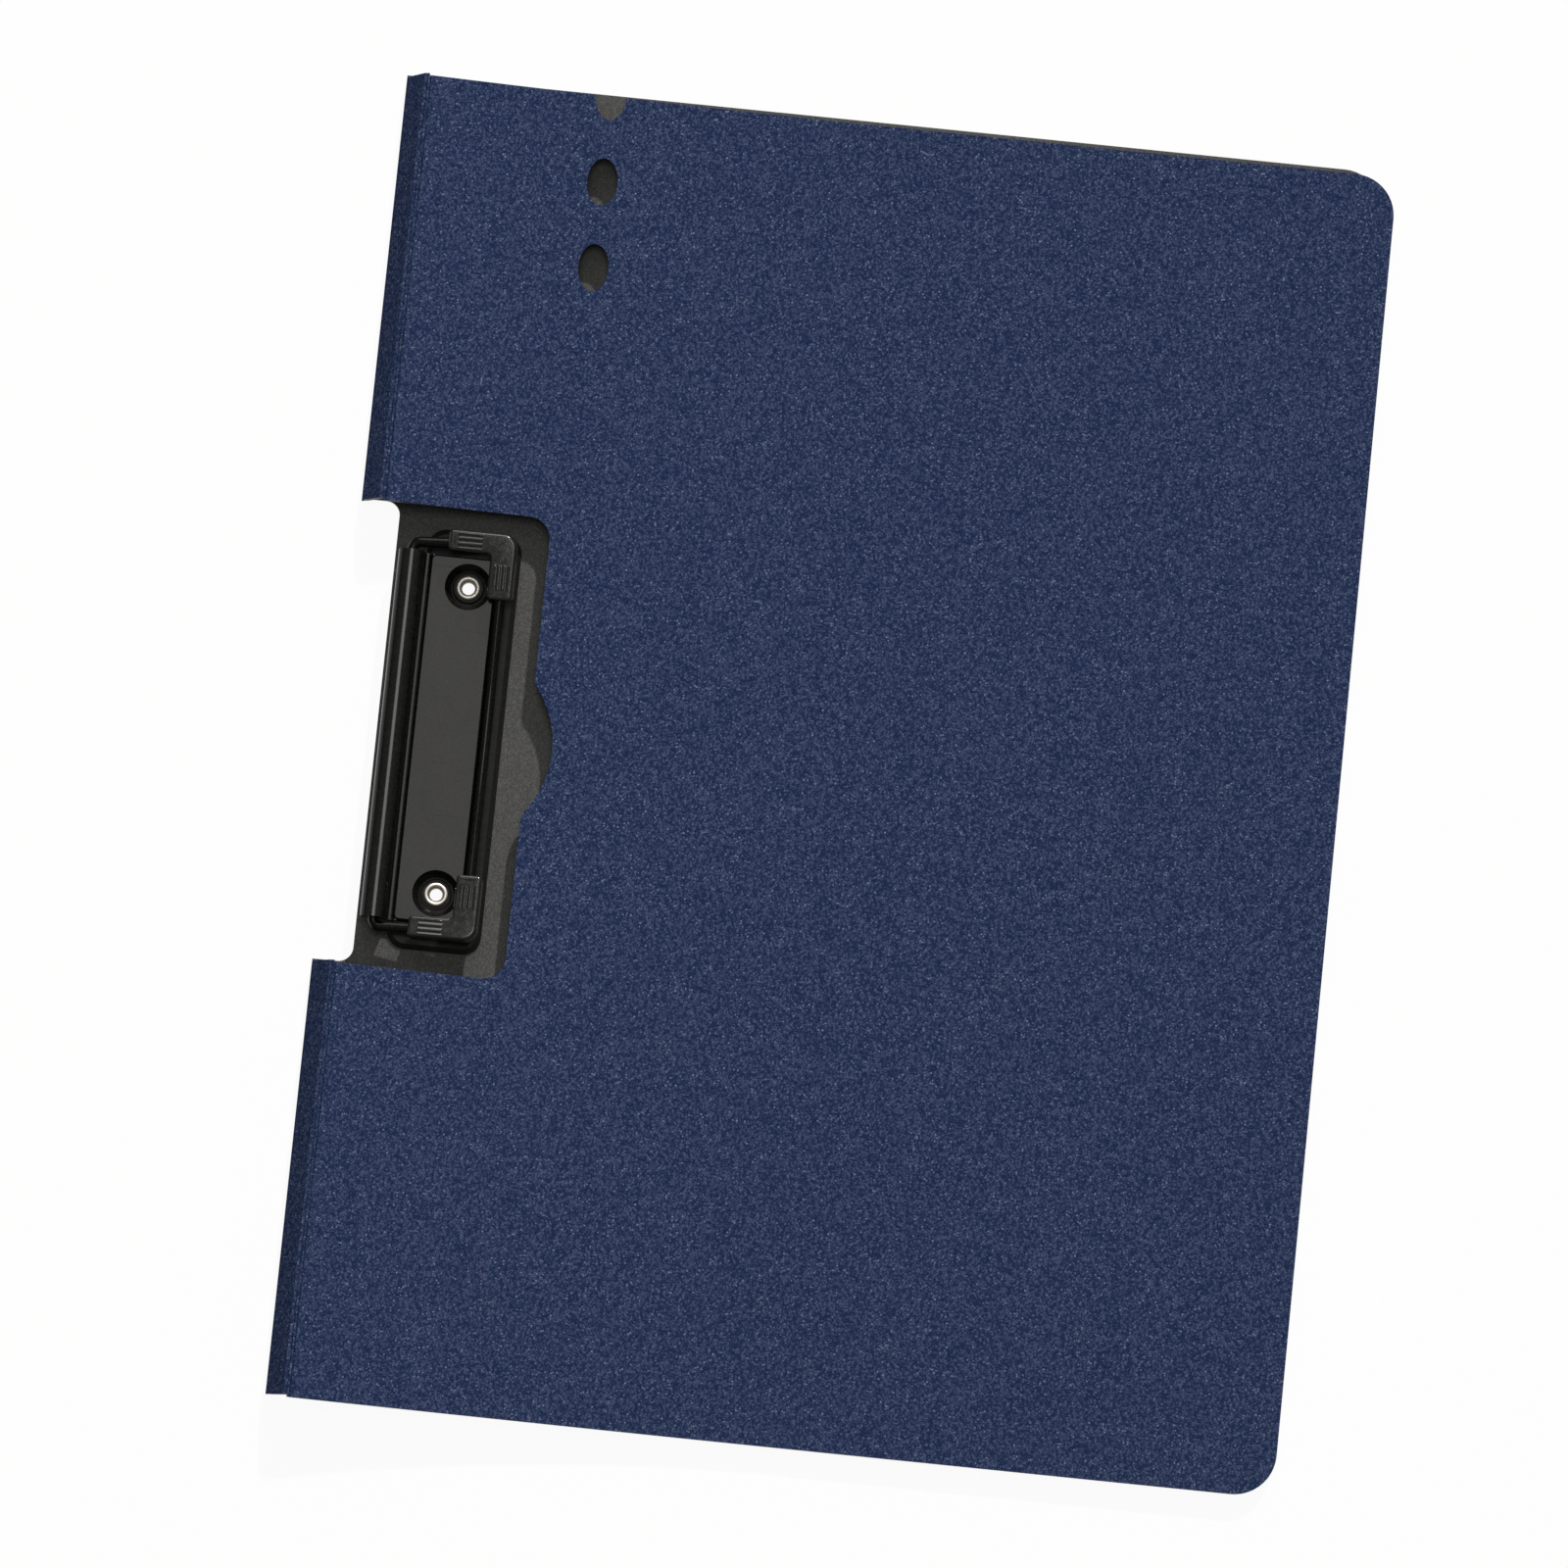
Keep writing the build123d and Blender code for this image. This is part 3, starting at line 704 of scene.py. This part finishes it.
def hollow_curve(start, corner, end, count=9):
    """Points of (1-t)^2 start + 2t(1-t) corner + t^2 end, which leaves and meets both legs smoothly."""
    t = np.linspace(0.0, 1.0, count)[:, None]
    return (1 - t) ** 2 * np.array(start) + 2 * t * (1 - t) * np.array(corner) + t**2 * np.array(end)


def valley_bead(name, curve, inside):
    """Rounded bend of the pressed sheet: a hollow curve, closed by one point inside the metal and
    carried along the barrel."""
    section = np.concatenate([curve, [inside]]) + np.array([BACK_CREASE.x, 0.0])
    ends = (-BARREL_HALF_LENGTH, BARREL_HALF_LENGTH)
    mesh = closed_mesh(name, *carried(section, [ends]), PLATE_ENAMEL)
    smooth(mesh)
    mesh.set_sharp_from_angle(angle=BEAD_SHARP_TURN)
    piece = link_piece(name, mesh)
    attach(piece, "back")


def grip(side):
    """Corner grip whose groove edges are rounded, so that they catch the light."""
    node = f"corner_grip_{side}"
    mesh, shape, rounded = copied_shape(node)
    shape.normal_update()
    for edge in shape.edges:
        steep = edge.calc_face_angle(0.0) > GROOVE_TURN
        on_top = any(face.normal.z > FACING_UP for face in edge.link_faces)
        if steep and edge.is_convex and on_top:
            edge[rounded] = 1.0
        elif steep:
            edge.smooth = False
    stand_in(f"ribbed_grip_{side}", mesh, shape, (GRIP,), node, "bail", GROOVE_ROUNDING)


def give_finish(node, material):
    """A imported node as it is, with its own material."""
    piece = frame["nodes"][node]
    piece.data.materials.clear()
    piece.data.materials.append(material)


give_finish("clip_base_plate", PLATE_ENAMEL)
plateau_curve = hollow_curve(
    (VALLEY_TO, VALLEY_Z),
    (PLATEAU_WALL_X - PLATEAU_CORNER, VALLEY_Z),
    (PLATEAU_WALL_X + PLATEAU_INTO_WALL, PLATEAU_WALL_Z),
)
valley_bead("plateau_bend", plateau_curve, (PLATEAU_WALL_X + PLATEAU_INSIDE, VALLEY_Z - BEAD_DEPTH))
barrel_side = BARREL_X + math.sqrt(BARREL_RADIUS**2 - (BARREL_Z - BARREL_TANGENT_Z) ** 2)
barrel_curve = hollow_curve(
    (VALLEY_FROM, VALLEY_Z),
    (barrel_side + BARREL_CORNER, VALLEY_Z),
    (barrel_side, BARREL_TANGENT_Z),
)
valley_bead("barrel_bend", barrel_curve, (BARREL_X + BARREL_INSIDE, VALLEY_Z - BEAD_DEPTH))
give_finish("wire_bail", WIRE_ENAMEL)
for side in ("upper", "lower"):
    grip(side)
    give_finish(f"rivet_{side}", NICKEL)


# Studio

def floor():
    """Large pale floor: white to the camera and in reflections, plain where it lights the folder."""
    mesh = bpy.data.meshes.new("floor")
    corners = [(x * FLOOR_HALF, y * FLOOR_HALF, FLOOR_Z) for x, y in ((-1, -1), (1, -1), (1, 1), (-1, 1))]
    mesh.from_pydata(corners, [], [(0, 1, 2, 3)])
    material, nodes, links, shader = new_material("pale_floor")
    shader.inputs["Base Color"].default_value = FLOOR_GREY
    shader.inputs["Roughness"].default_value = 0.9
    white = nodes.new("ShaderNodeEmission")
    white.inputs["Strength"].default_value = 1.0
    path = nodes.new("ShaderNodeLightPath")
    seen = maths(nodes, links, "MAXIMUM", path.outputs["Is Camera Ray"], path.outputs["Is Glossy Ray"])
    seen = maths(nodes, links, "MAXIMUM", seen, path.outputs["Is Transmission Ray"])
    mix = nodes.new("ShaderNodeMixShader")
    links.new(maths(nodes, links, "MULTIPLY", seen, FLOOR_GLOW), mix.inputs["Fac"])
    links.new(shader.outputs["BSDF"], mix.inputs[1])
    links.new(white.outputs["Emission"], mix.inputs[2])
    links.new(mix.outputs["Shader"], nodes["Material Output"].inputs["Surface"])
    mesh.materials.append(material)
    link_piece("floor", mesh)


def world():
    """Dim soft surroundings, brighter overhead: strength by the height of the direction looked in."""
    surroundings = bpy.data.worlds.new("studio")
    bpy.context.scene.world = surroundings
    surroundings.use_nodes = True
    nodes, links = surroundings.node_tree.nodes, surroundings.node_tree.links
    background = nodes["Background"]
    background.inputs["Color"].default_value = (1.0, 1.0, 1.0, 1.0)
    height = split_place(nodes, links, nodes.new("ShaderNodeTexCoord").outputs["Generated"])[2]
    strength = ramp(nodes, links, height, 0.3, 0.97, WORLD_LOW, WORLD_HIGH)
    links.new(strength, background.inputs["Strength"])


def lamp(name, kind, direction, distance, energy, size):
    """Lamp that stands off along a direction and looks at the middle of the folder. Its size is an
    angle for a sun, a width for a disk and two sides for a rectangle."""
    data = bpy.data.lights.new(name, kind)
    data.energy = energy
    data.color = LAMP_WHITE
    if kind == "SUN":
        data.angle = size
    elif isinstance(size, tuple):
        data.shape = "RECTANGLE"
        data.size, data.size_y = size
    else:
        data.shape = "DISK"
        data.size = size
    stand = bpy.data.objects.new(name, data)
    bpy.context.scene.collection.objects.link(stand)
    towards = Vector(direction).normalized()
    stand.location = towards * distance
    stand.rotation_euler = towards.to_track_quat("Z", "Y").to_euler()


def camera():
    """Long lens almost straight overhead, leaning and rolled as the constants say."""
    data = bpy.data.cameras.new("photo_camera")
    data.sensor_width = SENSOR
    data.lens = LENS
    data.clip_end = 50.0
    stand = bpy.data.objects.new("photo_camera", data)
    bpy.context.scene.collection.objects.link(stand)
    lean = [math.tan(math.radians(angle)) for angle in CAMERA_LEAN]
    back = Vector((lean[0], lean[1], 1.0)).normalized()
    roll = math.radians(CAMERA_ROLL)
    right = Vector((math.sin(roll), math.cos(roll), 0.0)).cross(back).normalized()
    up = back.cross(right)
    turn = Matrix((right, up, back)).transposed().to_4x4()
    stand.matrix_world = Matrix.Translation(AIM + back * CAMERA_DISTANCE) @ turn
    bpy.context.scene.camera = stand


floor()
world()
lamp("key", "SUN", KEY_DIRECTION, distance=2.0, energy=3.9, size=math.radians(2.0))
lamp("overhead", "AREA", (0.0, 0.12, 1.0), distance=3.0, energy=14.0, size=1.3)
lamp("strip", "AREA", (-0.22, 0.82, 0.57), distance=2.0, energy=9.0, size=(0.5, 2.0))
camera()
bpy.context.scene.view_settings.view_transform = "Standard"
